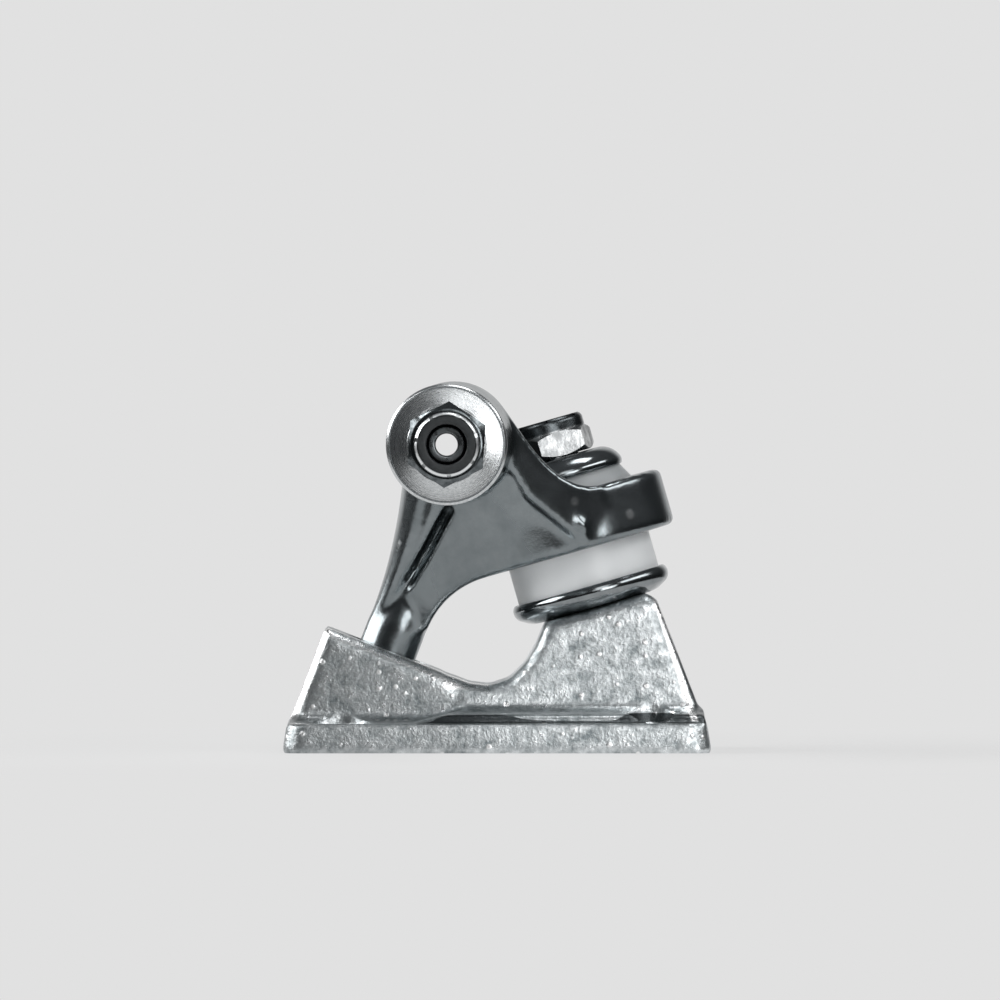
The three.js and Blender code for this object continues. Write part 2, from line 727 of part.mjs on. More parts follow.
// Axle with the washers and lock nut of each end; an end's own +Z points outwards
function axleGroup() {
  const group = new THREE.Group();
  group.position.set(axleX, 0, axleHeight);
  const axle = mesh('axle', makeAxle(), steelFinish);
  axle.rotation.x = Math.PI / 2;
  group.add(axle);

  for (const [side, turn] of [['near', Math.PI / 2], ['far', -Math.PI / 2]]) {
    const end = new THREE.Group();
    end.rotation.x = turn;
    const innerWasher = mesh(`${side}_inner_washer`, makeAxleWasher(), steelFinish);
    innerWasher.position.z = shoulder + washerSeatRise + seatGap;
    const outerWasher = mesh(`${side}_outer_washer`, makeAxleWasher(), steelFinish);
    outerWasher.position.z = axleNutFoot - seatGap - axleWasherThickness;
    const nut = new THREE.Group();
    nut.position.z = axleNutFoot;
    nut.rotation.z = axleNutTurn;
    nut.add(
      mesh(`${side}_axle_nut`, makeLockNut({
        acrossFlats: axleNutAcrossFlats,
        hexHeight: axleNutHexHeight,
        collarDiameter: axleNutCollarDiameter,
        collarHeight: axleNutCollarHeight,
        bore: axleDiameter + 2 * threadGap,
        insertDiameter: axleNutInsertDiameter,
      }), chromeFinish),
      mesh(`${side}_axle_nut_insert`, makeNutInsert(axleNutHeight, axleNutInsertDiameter, axleNutInsertBore), nylonFinish),
    );
    end.add(innerWasher, outerWasher, nut);
    group.add(end);
  }
  return group;
}

const truck = new THREE.Group();
truck.add(
  mesh('baseplate', makeBaseplate(), castFinish),
  mesh('pivot_cup', makePivotCup(), urethaneFinish),
  kingpinGroup(),
  mesh('hanger', makeHanger(), satinFinish),
  axleGroup(),
);

export default truck;
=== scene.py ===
import json
import math

import bmesh
import bpy
from mathutils import Matrix, Vector


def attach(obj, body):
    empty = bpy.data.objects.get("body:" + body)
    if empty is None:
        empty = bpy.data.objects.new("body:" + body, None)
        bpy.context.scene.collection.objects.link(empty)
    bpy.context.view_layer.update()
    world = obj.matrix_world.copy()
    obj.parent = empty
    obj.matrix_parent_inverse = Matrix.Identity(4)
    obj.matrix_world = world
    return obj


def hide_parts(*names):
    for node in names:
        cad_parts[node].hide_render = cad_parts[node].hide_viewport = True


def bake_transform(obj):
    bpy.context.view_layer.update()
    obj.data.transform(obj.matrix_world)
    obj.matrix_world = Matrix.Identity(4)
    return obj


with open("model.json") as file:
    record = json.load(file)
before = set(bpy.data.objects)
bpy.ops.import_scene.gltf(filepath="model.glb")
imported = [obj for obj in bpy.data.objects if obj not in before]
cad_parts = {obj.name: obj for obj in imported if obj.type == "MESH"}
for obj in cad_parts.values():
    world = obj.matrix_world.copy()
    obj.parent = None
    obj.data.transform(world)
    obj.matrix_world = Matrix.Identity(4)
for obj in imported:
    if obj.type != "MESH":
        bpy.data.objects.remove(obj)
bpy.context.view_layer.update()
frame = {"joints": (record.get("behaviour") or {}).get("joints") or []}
joints = {joint["name"]: joint for joint in frame["joints"]}

# Camera: level with the axle and looking straight along it, from far enough away
# that the near and far ends of the truck almost cover each other.
CAMERA_DISTANCE = 2.5

camera_data = bpy.data.cameras.new("camera")
camera_data.sensor_width = 36
camera_data.lens = 512.2
camera_data.shift_x = 0.0534
camera_data.shift_y = -0.0554
camera_data.clip_end = 60
camera = bpy.data.objects.new("camera", camera_data)
axle_point = joints["near_axle_nut_turn"]["pos_m"]
camera.location = (axle_point[0], -CAMERA_DISTANCE, axle_point[2])
camera.rotation_euler = (math.radians(90), 0, 0)
bpy.context.scene.collection.objects.link(camera)
bpy.context.scene.camera = camera
bpy.context.scene.view_settings.view_transform = "Standard"

# Floor: a plain pale sheet under the truck. The camera and the metal see it evenly lit,
# and near the truck part of its own shading stays, so the truck darkens it where it stands.
PALE = (0.753, 0.753, 0.753, 1)
FLOOR_RADIUS = 0.21
SHADED_TO, PLAIN_FROM = 0.08, 0.19
FLOOR_DROP = 0.00005


def new_material(name):
    """Plain node material, with its node tree and its Principled shader."""
    material = bpy.data.materials.new(name)
    material.use_nodes = True
    tree = material.node_tree
    tree.nodes.clear()
    surface = tree.nodes.new("ShaderNodeOutputMaterial").inputs["Surface"]
    shader = tree.nodes.new("ShaderNodeBsdfPrincipled")
    tree.links.new(shader.outputs["BSDF"], surface)
    return material, tree, shader


def object_vector(tree):
    """Place on the object, in metres from its origin."""
    return tree.nodes.new("ShaderNodeTexCoord").outputs["Object"]


def feed(tree, socket, value):
    """Links another node's socket to a socket, or sets it to a plain value."""
    if isinstance(value, bpy.types.NodeSocket):
        tree.links.new(value, socket)
    else:
        socket.default_value = value


def math_node(tree, operation, *values):
    """One Math node; each value is a number or another node's socket."""
    node = tree.nodes.new("ShaderNodeMath")
    node.operation = operation
    for socket, value in zip(node.inputs, values):
        feed(tree, socket, value)
    return node.outputs[0]


def folded(tree, operation, first, *others):
    """One Math operation over several values, from left to right."""
    for other in others:
        first = math_node(tree, operation, first, other)
    return first


def vector_node(tree, operation, vector, *values):
    """One Vector Math node on a vector socket; a length or dot product is a number."""
    node = tree.nodes.new("ShaderNodeVectorMath")
    node.operation = operation
    for socket, value in zip(node.inputs, (vector, *values)):
        feed(tree, socket, value)
    return node.outputs["Value" if operation in ("LENGTH", "DOT_PRODUCT") else "Vector"]


def ramp_node(tree, value, low, high, to_low=0.0, to_high=1.0, shape="LINEAR"):
    """Value spread from one range to another and held at its ends."""
    node = tree.nodes.new("ShaderNodeMapRange")
    node.interpolation_type = shape
    node.inputs["From Min"].default_value = low
    node.inputs["From Max"].default_value = high
    node.inputs["To Min"].default_value = to_low
    node.inputs["To Max"].default_value = to_high
    tree.links.new(value, node.inputs["Value"])
    return node.outputs["Result"]


floor_material, tree, floor_paint = new_material("floor_paper")
floor_paint.inputs["Base Color"].default_value = (0.8, 0.8, 0.8, 1)
floor_paint.inputs["Roughness"].default_value = 0.9
floor_paint.inputs["Specular IOR Level"].default_value = 0.1
glow = tree.nodes.new("ShaderNodeEmission")
glow.inputs["Color"].default_value = PALE
rays = tree.nodes.new("ShaderNodeLightPath").outputs
seen = folded(tree, "MAXIMUM", rays["Is Camera Ray"], rays["Is Glossy Ray"], rays["Is Transmission Ray"])
reach = vector_node(tree, "LENGTH", object_vector(tree))
even = ramp_node(tree, reach, SHADED_TO, PLAIN_FROM, 0.8, 1.0, "SMOOTHSTEP")
blend = tree.nodes.new("ShaderNodeMixShader")
tree.links.new(math_node(tree, "MULTIPLY", seen, even), blend.inputs[0])
tree.links.new(floor_paint.outputs["BSDF"], blend.inputs[1])
tree.links.new(glow.outputs["Emission"], blend.inputs[2])
tree.links.new(blend.outputs["Shader"], tree.get_output_node("ALL").inputs["Surface"])

sheet = bmesh.new()
bmesh.ops.create_circle(sheet, cap_ends=True, segments=96, radius=FLOOR_RADIUS)
floor_mesh = bpy.data.meshes.new("floor")
sheet.to_mesh(floor_mesh)
sheet.free()
floor_mesh.materials.append(floor_material)
floor = bpy.data.objects.new("floor", floor_mesh)
floor.location.z = -FLOOR_DROP
bpy.context.scene.collection.objects.link(floor)

# Studio: a pale backdrop behind the truck and a dim room in front of it, with soft boxes
# above, at both sides, in front, high on the left and, close by, low on the right.
LOOK_AT = Vector((0.0, 0.0, 0.04))
NEAR_END = Vector((-0.0088, -0.0695, 0.0536))


def mix_colours(tree, factor, first, second, blend_type="MIX"):
    """Two colours mixed; each input is a plain value or a socket."""
    node = tree.nodes.new("ShaderNodeMix")
    node.data_type = "RGBA"
    node.blend_type = blend_type
    feed(tree, node.inputs["Factor"], factor)
    feed(tree, node.inputs[6], first)
    feed(tree, node.inputs[7], second)
    return node.outputs[2]


world = bpy.data.worlds.new("studio")
world.use_nodes = True
bpy.context.scene.world = world
tree = world.node_tree
tree.nodes.clear()
background = tree.nodes.new("ShaderNodeBackground")
tree.links.new(background.outputs["Background"], tree.nodes.new("ShaderNodeOutputWorld").inputs["Surface"])
direction = tree.nodes.new("ShaderNodeSeparateXYZ")
tree.links.new(tree.nodes.new("ShaderNodeTexCoord").outputs["Generated"], direction.inputs["Vector"])
behind = ramp_node(tree, direction.outputs["Y"], 0.72, 0.94, shape="SMOOTHSTEP")
room = tree.nodes.new("ShaderNodeValToRGB")
low_room, high_room = room.color_ramp.elements
low_room.position, low_room.color = 0.5, (0.02, 0.022, 0.023, 1)
high_room.position, high_room.color = 1.0, (0.12, 0.125, 0.13, 1)
tree.links.new(math_node(tree, "MULTIPLY_ADD", direction.outputs["Z"], 0.5, 0.5), room.inputs["Fac"])
rays = tree.nodes.new("ShaderNodeLightPath").outputs
mirrored = math_node(tree, "MAXIMUM", rays["Is Glossy Ray"], rays["Is Transmission Ray"])
mirrored = math_node(tree, "MULTIPLY", mirrored, behind)
seen = math_node(tree, "MAXIMUM", rays["Is Camera Ray"], mirrored)
tree.links.new(mix_colours(tree, seen, room.outputs["Color"], PALE), background.inputs["Color"])


def softbox(name, azimuth, elevation, distance, width, height, brightness, aim=LOOK_AT):
    """Area lamp towards a point. Azimuth 0 is over the camera and 90 on the right."""
    turn, rise = math.radians(azimuth), math.radians(elevation)
    away = Vector((math.sin(turn) * math.cos(rise), -math.cos(turn) * math.cos(rise), math.sin(rise)))
    lamp = bpy.data.lights.new(name, "AREA")
    lamp.shape = "RECTANGLE"
    lamp.size = width
    lamp.size_y = height
    lamp.energy = brightness * math.pi * width * height
    holder = bpy.data.objects.new(name, lamp)
    holder.location = aim + away * distance
    holder.rotation_euler = away.to_track_quat("Z", "Y").to_euler()
    holder.visible_camera = False
    bpy.context.scene.collection.objects.link(holder)


softbox("overhead", 92, 77, 1.0, 0.34, 0.36, 5.5)
softbox("left_box", -98, 26, 1.0, 1.5, 0.5, 5.0)
softbox("right_box", 72, 35, 1.0, 0.9, 0.28, 3.4)
softbox("key", 10, 29, 1.0, 0.34, 0.5, 1.75)
softbox("upper_left", -48, 46, 1.1, 0.3, 0.25, 7.0)
softbox("front_right", 30, 8, 0.5, 0.21, 0.24, 3.8, aim=NEAR_END)

# Baseplate: one aluminium casting, tumbled bright. A slab carries a narrower body with the
# pivot block at one end, the kingpin tower at the other and a scoop between them.
MM = 0.001
CAST_VOXEL = 0.45
WELD = 0.0005


def frame_of(origin_mm, axis):
    """Frame in millimetres whose own +Z runs along the axis."""
    turn = Vector((0, 0, 1)).rotation_difference(Vector(axis)).to_matrix().to_4x4()
    return Matrix.Translation(Vector(origin_mm)) @ turn


def joint_frame(name):
    """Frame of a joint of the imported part, in millimetres, with +Z along its axis."""
    joint = joints[name]
    return frame_of(Vector(joint["pos_m"]) / MM, joint["axis"])


def slab_of(outline, low, high):
    """Solid of a side view outline of (x, z) corners, from y = low to y = high."""
    shape = bmesh.new()
    face = shape.faces.new([shape.verts.new((x, low, z)) for x, z in outline])
    grown = bmesh.ops.extrude_face_region(shape, geom=[face])
    moved = [item for item in grown["geom"] if isinstance(item, bmesh.types.BMVert)]
    bmesh.ops.translate(shape, vec=(0, high - low, 0), verts=moved)
    bmesh.ops.recalc_face_normals(shape, faces=shape.faces)
    return shape


def brick(size):
    """Block of a size, about the origin."""
    shape = bmesh.new()
    bmesh.ops.create_cube(shape, size=1.0)
    bmesh.ops.scale(shape, vec=size, verts=shape.verts)
    return shape


def hexagon(corner_radius, low, high):
    """Six sided bar along +Z."""
    shape = bmesh.new()
    bmesh.ops.create_cone(shape, cap_ends=True, segments=6, radius1=corner_radius, radius2=corner_radius,
                          depth=high - low)
    bmesh.ops.translate(shape, vec=(0, 0, (low + high) / 2), verts=shape.verts)
    return shape


def rounded(shape, edges, offset, segments):
    """The shape with some of its edges rounded."""
    bmesh.ops.bevel(shape, geom=edges, offset=offset, segments=segments, profile=0.5, affect="EDGES",
                    material=-1)
    return shape


def sliced(shape, point, outwards):
    """The shape with everything beyond a plane cut away, and the cut closed."""
    cut = bmesh.ops.bisect_plane(shape, geom=shape.verts[:] + shape.edges[:] + shape.faces[:],
                                 plane_co=point, plane_no=outwards, clear_outer=True)
    edges = [item for item in cut["geom_cut"] if isinstance(item, bmesh.types.BMEdge)]
    bmesh.ops.holes_fill(shape, edges=edges, sides=0)
    bmesh.ops.recalc_face_normals(shape, faces=shape.faces)
    return shape


def slimmed(shape, point, outwards):
    """The shape sliced alike on both sides, by a plane for +Y and its mirror image."""
    for side in (-1, 1):
        flip = Vector((1, side, 1))
        shape = sliced(shape, Vector(point) * flip, Vector(outwards) * flip)
    return shape


def turned(outline, steps, place=None):
    """Solid turned about +Z from (radius, height, rounding) corners, up its outside first."""
    shape = bmesh.new()
    corners = [shape.verts.new((radius, 0, height)) for radius, height, _ in outline]
    closed = all(radius > 0 for radius, _, _ in outline)
    for start, end in zip(corners, corners[1:] + (corners[:1] if closed else [])):
        shape.edges.new((start, end))
    for corner, (_, _, rounding) in zip(corners, outline):
        if rounding:
            bmesh.ops.bevel(shape, geom=[corner], offset=rounding, segments=4,
                            profile=0.5, affect="VERTICES", material=-1)
    bmesh.ops.spin(shape, geom=shape.verts[:] + shape.edges[:], cent=(0, 0, 0), axis=(0, 0, 1),
                   angle=math.tau, steps=steps, use_merge=True)
    bmesh.ops.remove_doubles(shape, verts=shape.verts, dist=WELD)
    bmesh.ops.recalc_face_normals(shape, faces=shape.faces)
    if place is not None:
        bmesh.ops.transform(shape, matrix=place, verts=shape.verts)
    return shape


def bar(radius, low, high, place, steps=72):
    """Plain round bar or cutting tool along a frame's +Z."""
    return turned([(0, low, 0), (radius, low, 0), (radius, high, 0), (0, high, 0)], steps, place)


def together(*shapes):
    """All the shapes as one set of shells."""
    whole = shapes[0]
    for shape in shapes[1:]:
        spare = bpy.data.meshes.new("spare")
        shape.to_mesh(spare)
        whole.from_mesh(spare)
        bpy.data.meshes.remove(spare)
        shape.free()
    return whole


def finished_by(shape, add_modifiers):
    """The shape after the modifiers that the function puts on its temporary object."""
    mesh = bpy.data.meshes.new("work")
    shape.to_mesh(mesh)
    shape.free()
    work = bpy.data.objects.new("work", mesh)
    bpy.context.scene.collection.objects.link(work)
    add_modifiers(work)
    bpy.context.view_layer.update()
    done = bpy.data.meshes.new_from_object(work.evaluated_get(bpy.context.evaluated_depsgraph_get()))
    result = bmesh.new()
    result.from_mesh(done)
    bpy.data.objects.remove(work)
    bpy.data.meshes.remove(mesh)
    bpy.data.meshes.remove(done)
    return result


def carved(shape, *tools, operation="DIFFERENCE"):
    """The shape with tools cut out of it, or kept to them, one after another."""
    for tool in tools:
        mesh = bpy.data.meshes.new("tool")
        tool.to_mesh(mesh)
        tool.free()
        cutter = bpy.data.objects.new("tool", mesh)
        bpy.context.scene.collection.objects.link(cutter)

        def add_cut(work, cutter=cutter):
            modifier = work.modifiers.new("cut", "BOOLEAN")
            modifier.solver = "EXACT"
            modifier.operation = operation
            modifier.object = cutter

        shape = finished_by(shape, add_cut)
        bpy.data.objects.remove(cutter)
        bpy.data.meshes.remove(mesh)
    return shape


def cast(shape, passes, voxel=CAST_VOXEL):
    """Shells melted into one skin, with the soft edges that a casting has."""
    def add_casting(work):
        skin = work.modifiers.new("skin", "REMESH")
        skin.mode = "VOXEL"
        skin.voxel_size = voxel
        if passes:
            soften = work.modifiers.new("soften", "SMOOTH")
            soften.factor = 0.5
            soften.iterations = passes

    return finished_by(shape, add_casting)


def piece(name, shape, material, body, nodes, crease=32):
    """Finished object in metres from a shape in millimetres, riding on a body of the part."""
    bmesh.ops.scale(shape, vec=(MM, MM, MM), verts=shape.verts)
    for face in shape.faces:
        face.smooth = True
    mesh = bpy.data.meshes.new(name)
    shape.to_mesh(mesh)
    shape.free()
    mesh.set_sharp_from_angle(angle=math.radians(crease))
    mesh.materials.append(material)
    made = bpy.data.objects.new(name, mesh)
    bpy.context.scene.collection.objects.link(made)
    if body:
        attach(made, body)
    if nodes:
        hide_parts(*nodes)
    return made


def effect_group(name, sizes, results):
    """New shader node group on a vector: its tree, its input node and its output node."""
    group = bpy.data.node_groups.new(name, "ShaderNodeTree")
    group.interface.new_socket("Vector", in_out="INPUT", socket_type="NodeSocketVector")
    for label, value in sizes.items():
        size = group.interface.new_socket(label, in_out="INPUT", socket_type="NodeSocketFloat")
        size.default_value = value
    for label in results:
        group.interface.new_socket(label, in_out="OUTPUT", socket_type="NodeSocketFloat")
    return group, group.nodes.new("NodeGroupInput"), group.nodes.new("NodeGroupOutput")


def place_group(tree, group, vector, **sizes):
    """An effect group in a material, on a vector socket."""
    node = tree.nodes.new("ShaderNodeGroup")
    node.node_tree = group
    tree.links.new(vector, node.inputs["Vector"])
    for label, value in sizes.items():
        node.inputs[label.replace("_", " ").capitalize()].default_value = value
    return node


def noise_node(tree, vector, scale, detail=3.0, roughness=0.5):
    """Noise texture on a vector socket; the scale is a number or a socket."""
    node = tree.nodes.new("ShaderNodeTexNoise")
    node.inputs["Detail"].default_value = detail
    node.inputs["Roughness"].default_value = roughness
    tree.links.new(vector, node.inputs["Vector"])
    feed(tree, node.inputs["Scale"], scale)
    return node.outputs["Fac"]


def window(tree, value, start, full, fade, end):
    """Mask that rises from start to full and falls again from fade to end."""
    return math_node(tree, "MULTIPLY", ramp_node(tree, value, start, full),
                     ramp_node(tree, value, fade, end, 1.0, 0.0))


def place_parts(tree):
    """The X, Y and Z of a place on the object, in metres."""
    parts = tree.nodes.new("ShaderNodeSeparateXYZ")
    tree.links.new(object_vector(tree), parts.inputs["Vector"])
    return parts.outputs


def bumped(tree, shader, height, distance):
    """Relief of a real height in metres on a shader."""
    node = tree.nodes.new("ShaderNodeBump")
    node.inputs["Strength"].default_value = 1.0
    node.inputs["Distance"].default_value = distance
    tree.links.new(height, node.inputs["Height"])
    tree.links.new(node.outputs["Normal"], shader.inputs["Normal"])


# Tumbled skin: soft mottling, small round dings that shine, and a fine grain
tumbled, entry, leave = effect_group(
    "tumbled_skin", {"Mottle size": 420.0, "Ding size": 620.0, "Ding share": 0.2},
    ("Mottle", "Dings", "Height"))
patches = noise_node(tumbled, entry.outputs["Vector"], entry.outputs["Mottle size"], 5.0, 0.68)
grain = noise_node(tumbled, entry.outputs["Vector"], 1900.0, 2.0, 0.6)
cells = tumbled.nodes.new("ShaderNodeTexVoronoi")
tumbled.links.new(entry.outputs["Vector"], cells.inputs["Vector"])
tumbled.links.new(entry.outputs["Ding size"], cells.inputs["Scale"])
chosen = tumbled.nodes.new("ShaderNodeSeparateColor")
tumbled.links.new(cells.outputs["Color"], chosen.inputs["Color"])
picked = math_node(tumbled, "LESS_THAN", chosen.outputs["Red"], entry.outputs["Ding share"])
round_ding = ramp_node(tumbled, cells.outputs["Distance"], 0.16, 0.34, 1.0, 0.0)
dings = math_node(tumbled, "MULTIPLY", picked, round_ding)
relief = math_node(tumbled, "MULTIPLY_ADD", grain, 0.35, patches)
relief = math_node(tumbled, "MULTIPLY_ADD", dings, 0.5, relief)
tumbled.links.new(ramp_node(tumbled, patches, 0.32, 0.68), leave.inputs["Mottle"])
tumbled.links.new(dings, leave.inputs["Dings"])
tumbled.links.new(relief, leave.inputs["Height"])

cast_metal, tree, shader = new_material("cast_aluminium")
where = place_parts(tree)
skin = place_group(tree, tumbled, object_vector(tree))
tint = mix_colours(tree, skin.outputs["Mottle"], (0.24, 0.27, 0.28, 1), (0.82, 0.85, 0.86, 1))
tint = mix_colours(tree, skin.outputs["Dings"], tint, (1, 1, 1, 1))

# Painted light: the casting is painted lighter towards the kingpin, where more light falls on it
kingpin_end_light = math_node(tree, "MULTIPLY_ADD", noise_node(tree, object_vector(tree), 70.0, 2.0), 0.05, where["X"])
tint = mix_colours(tree, 1.0, tint, ramp_node(tree, kingpin_end_light, -0.02, 0.03, 0.62, 1.12), "MULTIPLY")

# Painted shade: a dark band is painted along the foot of the towers, in the crease where they stand
# on the slab. It begins at BAND_FOOT, and the curve gives its height in BAND_STEPs from the pivot's
# end of the truck to the kingpin's.
BAND_FOOT, BAND_STEP = 0.0052, 0.002
SIDE_FROM = 0.0147
band_top = tree.nodes.new("ShaderNodeFloatCurve")
tree.links.new(ramp_node(tree, where["X"], -0.04, 0.04), band_top.inputs["Value"])
curve = band_top.mapping.curves[0]
curve.points[0].location = (0.0, 0.03)
curve.points[1].location = (1.0, 0.8)
for share, level in ((0.33, 0.06), (0.37, 0.45), (0.42, 0.75), (0.5, 0.75), (0.56, 0.4), (0.62, 0.28),
                     (0.75, 0.3), (0.79, 0.82)):
    curve.points.new(share, level)
band_top.mapping.update()
above = math_node(tree, "SUBTRACT", where["Z"], BAND_FOOT)
above = math_node(tree, "DIVIDE", above, BAND_STEP)
under_top = ramp_node(tree, math_node(tree, "SUBTRACT", band_top.outputs[0], above), 0.0, 0.08)
from_middle = math_node(tree, "ABSOLUTE", where["Y"])
outside = ramp_node(tree, from_middle, SIDE_FROM, SIDE_FROM + 0.0005)
# dull is the strength of the painted shade in the crease
dull = folded(tree, "MULTIPLY", under_top, ramp_node(tree, above, -0.04, 0.02), outside, 0.92)
tint = mix_colours(tree, dull, tint, (0.045, 0.052, 0.055, 1))


def beyond(line_x, line_z, run_x, run_z):
    """How far a point lies to the right of a line of the side view, in millimetres."""
    length = math.hypot(run_x, run_z)
    out_x, out_z = run_z / length, -run_x / length
    across = math_node(tree, "MULTIPLY", where["X"], out_x / MM)
    across = math_node(tree, "MULTIPLY_ADD", where["Z"], out_z / MM, across)
    return math_node(tree, "SUBTRACT", across, line_x * out_x + line_z * out_z)


# Painted highlights: the edges of the side faces are painted bright, and painted shade gives the
# kingpin's end a dark rim
left_out = beyond(-30.0, 21.81, -6.3, -16.61)
top_out = beyond(-9.75, 14.03, -20.25, 7.78)
right_out = beyond(34.05, 7.16, -6.0, 19.24)
left_edge = ramp_node(tree, left_out, -1.3, -0.9)
right_edge = window(tree, right_out, -0.8, -0.5, 0.3, 0.6)
top_edge = math_node(tree, "MULTIPLY", ramp_node(tree, top_out, -1.5, -1.1),
                     ramp_node(tree, where["X"], -0.006, -0.009))
scoop_edge = math_node(tree, "MULTIPLY", window(tree, where["X"], -0.0105, -0.0085, -0.002, 0.0),
                       ramp_node(tree, where["Z"], 0.0107, 0.0112))
above_slab = ramp_node(tree, where["Z"], 0.0054, 0.006)
on_side = ramp_node(tree, from_middle, 0.0095, 0.0105)
edges = folded(tree, "MAXIMUM", left_edge, right_edge, top_edge, scoop_edge)
edges = folded(tree, "MULTIPLY", edges, above_slab, on_side)
# Painted shade: the dark rim along the kingpin's end
end_rim_shade = folded(tree, "MULTIPLY", ramp_node(tree, right_out, 0.4, 0.7), above_slab, on_side, 0.7)
tint = mix_colours(tree, edges, tint, (1, 1, 1, 1))
tint = mix_colours(tree, end_rim_shade, tint, (0.1, 0.11, 0.115, 1))
tree.links.new(tint, shader.inputs["Base Color"])
shader.inputs["Metallic"].default_value = 1.0
rough = ramp_node(tree, skin.outputs["Mottle"], 0.0, 1.0, 0.44, 0.26)
tree.links.new(math_node(tree, "MULTIPLY_ADD", edges, -0.08, rough), shader.inputs["Roughness"])
bumped(tree, shader, skin.outputs["Height"], 0.00016)

SLAB_LENGTH, SLAB_WIDTH, SLAB_HEIGHT = 74.9, 56.0, 5.1
SLAB_DRAFT = 0.85
SLAB_CORNER, SLAB_EDGE = 3.2, 0.9
UNDERCUT = -0.35
SKIRT_INSET = 1.2
SIDE_FOOT = 7.2
BOLT_X, BOLT_Y = 26.99, 20.64
POCKET_RADIUS, POCKET_FLOOR = 5.1, 4.2
BOLT_HOLE_RADIUS = 2.7
KINGPIN_BORE = 5.1
SOCKET_RADIUS = 7.95

slab = brick((SLAB_LENGTH, SLAB_WIDTH, SLAB_HEIGHT - UNDERCUT))
bmesh.ops.translate(slab, vec=(0, 0, (SLAB_HEIGHT + UNDERCUT) / 2), verts=slab.verts)
for vert in slab.verts:
    if vert.co.z > 0:
        vert.co.x -= math.copysign(SLAB_DRAFT, vert.co.x)
        vert.co.y -= math.copysign(SLAB_DRAFT, vert.co.y)
upright = [edge for edge in slab.edges if abs(edge.verts[0].co.z - edge.verts[1].co.z) > 1]
rounded(slab, upright, SLAB_CORNER, 6)
underside = [edge for edge in slab.edges if max(vert.co.z for vert in edge.verts) < 0]
rounded(slab, underside, SLAB_EDGE, 3)


def end_solid(half_outline, low, high):
    """Solid of an end view, from the (y, z) corners of its +Y half, from x = low to x = high."""
    shape = slab_of(half_outline + [(-y, z) for y, z in reversed(half_outline)], low, high)
    bmesh.ops.rotate(shape, matrix=Matrix.Rotation(math.radians(-90), 3, "Z"), verts=shape.verts)
    return shape


def rounded_sides(shape, offset):
    """The shape with the edges round its two side faces rounded."""
    rims = [edge for edge in shape.edges if edge.verts[0].co.y * edge.verts[1].co.y > 0]
    return rounded(shape, rims, offset, 4)


pivot_foot = [(26.4, 2.0), (26.2, 5.0), (20.0, 5.2), (16.8, 5.5), (15.4, 6.2)]
pivot_skirt = end_solid(pivot_foot, SKIRT_INSET - SLAB_LENGTH / 2, -10)
tower_foot = [(26.4, 2.0), (25.7, 4.9), (25.1, 6.7), (18.0, 7.0), (15.8, 7.6)]
tower_skirt = end_solid(tower_foot, -16, SLAB_LENGTH / 2 - SKIRT_INSET)
tower_skirt = sliced(tower_skirt, (-15, 0, SLAB_HEIGHT), (-0.25, 0, 1))

tower_outline = [(-8.0, 2.0), (36.5, 2.0), (36.3, 5.2), (28.05, 26.61), (26.1, 27.61), (8.51, 22.57),
                 (7.0, 18.9), (5.1, 15.6), (2.3, 12.75), (-1.2, 11.6), (-4.8, 12.05), (-8.0, 13.3)]
tower = rounded_sides(slimmed(slab_of(tower_outline, -20, 20), (0, 15.7, SIDE_FOOT), (0, 1, 0.19)), 1.9)
block_outline = [(-36.5, 2.0), (-1.6, 2.0), (-3.4, 6.6), (-7.4, 12.8), (-9.75, 14.03), (-30.0, 21.81),
                 (-36.3, 5.2)]
block = rounded_sides(slimmed(slab_of(block_outline, -20, 20), (0, 15.4, SIDE_FOOT), (0, 1, 0.06)), 2.0)


def at_bolts(radius, low, high):
    """Cutting bars at the four deck bolts, as one tool."""
    places = [frame_of((x, y, 0), (0, 0, 1)) for x in (-BOLT_X, BOLT_X) for y in (-BOLT_Y, BOLT_Y)]
    return together(*(bar(radius, low, high, place, 48) for place in places))


body = cast(together(slab, pivot_skirt, tower_skirt, tower, block), 6)
body = cast(carved(body, at_bolts(POCKET_RADIUS, POCKET_FLOOR, 12)), 1)
body = sliced(body, (0, 0, 0), (0, 0, -1))

kingpin_line = joint_frame("kingpin_nut_turn")
pivot_point = Vector(joints["steer"]["pos_m"]) / MM
PIVOT_TILT = math.radians(21)
pivot_line = frame_of(pivot_point, (math.sin(PIVOT_TILT), 0, math.cos(PIVOT_TILT)))
head_recess = hexagon(8.6, -12.1, 12.1)
bmesh.ops.transform(head_recess, matrix=kingpin_line, verts=head_recess.verts)
body = carved(body, at_bolts(BOLT_HOLE_RADIUS, -3, 9), head_recess, bar(KINGPIN_BORE, 5, 40, kingpin_line),
              bar(SOCKET_RADIUS, -6.9, 15, pivot_line))
piece("cast_baseplate", body, cast_metal, "base", ["baseplate"])

# Pivot cup: a soft urethane cup pressed into the pivot block, with a flared mouth that lets
# the stem of the hanger swing.
CUP_RADIUS = 7.75
CUP_FLOOR, CUP_MOUTH = -6.7, 7.2
SEAT_RADIUS = 5.5


def urethane_material(name, deep, pale, roughness):
    """Cast urethane: milky, with faint clouds inside and a smooth waxy skin."""
    material, tree, shader = new_material(name)
    vector = object_vector(tree)
    clouds = ramp_node(tree, noise_node(tree, vector, 160.0, 2.0), 0.3, 0.7)
    tree.links.new(mix_colours(tree, clouds, deep, pale), shader.inputs["Base Color"])
    skin = noise_node(tree, vector, 900.0)
    tree.links.new(ramp_node(tree, skin, 0.3, 0.7, roughness, roughness + 0.12), shader.inputs["Roughness"])
    bumped(tree, shader, skin, 0.00003)
    return material, shader


def ball_end(radius):
    """Corners of a round end, from its lowest point up to where it is widest."""
    turns = [math.radians(step * 9) for step in range(11)]
    return [(radius * math.sin(turn), -radius * math.cos(turn), 0) for turn in turns]


